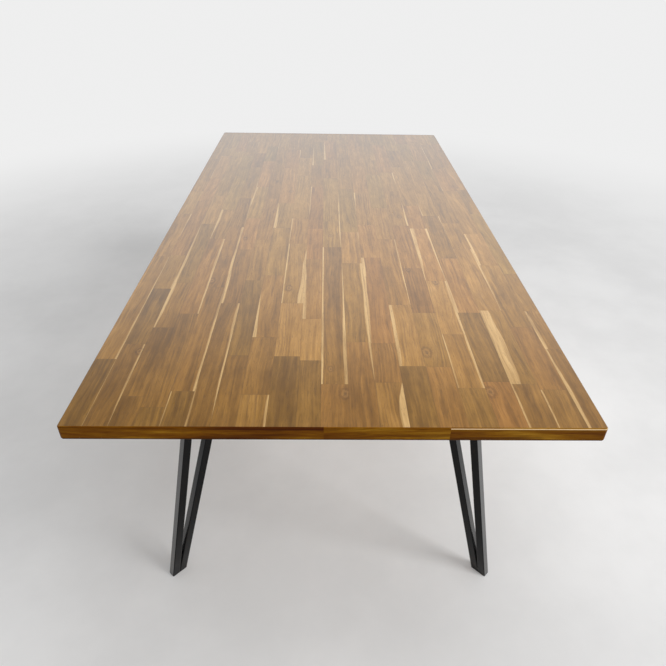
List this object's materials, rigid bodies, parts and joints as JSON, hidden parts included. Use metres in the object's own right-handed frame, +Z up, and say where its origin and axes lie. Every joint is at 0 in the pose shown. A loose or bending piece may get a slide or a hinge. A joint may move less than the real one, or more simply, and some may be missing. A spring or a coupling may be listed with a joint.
{
  "type": "butcher block table",
  "caption": "Rectangular dining table with a butcher block top of butted hardwood staves on splayed V legs of black square steel tube, screwed up through welded plates.",
  "frame": {"origin": "on the floor, under the middle of the table top", "axes": "+Z up, +X along the table's width to the right, +Y along its length to the back"},
  "size_m": [1, 2, 0.75],
  "materials": {
    "stave_wood": "satin lacquer on mixed brown hardwood staves with pale sapwood edges",
    "lipping_wood": "satin lacquer on long-grain hardwood strips",
    "powder_coat": "matte black powder coat with a fine orange-peel texture",
    "screw_steel": "zinc plated steel, slightly dull",
    "glide_plastic": "matte black plastic"
  },
  "bodies": {
    "root": {"back_left_glide": "glide_plastic", "back_left_inner_tube": "powder_coat", "back_left_outer_tube": "powder_coat", "back_left_plate": "powder_coat", "back_lipping_left": "lipping_wood", "back_lipping_middle": "lipping_wood", "back_lipping_right": "lipping_wood", "back_right_glide": "glide_plastic", "back_right_inner_tube": "powder_coat", "back_right_outer_tube": "powder_coat", "back_right_plate": "powder_coat", "front_left_glide": "glide_plastic", "front_left_inner_tube": "powder_coat", "front_left_outer_tube": "powder_coat", "front_left_plate": "powder_coat", "front_lipping_left": "lipping_wood", "front_lipping_middle": "lipping_wood", "front_lipping_right": "lipping_wood", "front_right_glide": "glide_plastic", "front_right_inner_tube": "powder_coat", "front_right_outer_tube": "powder_coat", "front_right_plate": "powder_coat", "leg_screws": "screw_steel", "stave_row_01": "stave_wood", "stave_row_02": "stave_wood", "stave_row_03": "stave_wood", "stave_row_04": "stave_wood", "stave_row_05": "stave_wood", "stave_row_06": "stave_wood", "stave_row_07": "stave_wood", "stave_row_08": "stave_wood", "stave_row_09": "stave_wood", "stave_row_10": "stave_wood", "stave_row_11": "stave_wood", "stave_row_12": "stave_wood", "stave_row_13": "stave_wood", "stave_row_14": "stave_wood", "stave_row_15": "stave_wood", "stave_row_16": "stave_wood", "stave_row_17": "stave_wood", "stave_row_18": "stave_wood", "stave_row_19": "stave_wood", "stave_row_20": "stave_wood"}
  },
  "joints": []
}
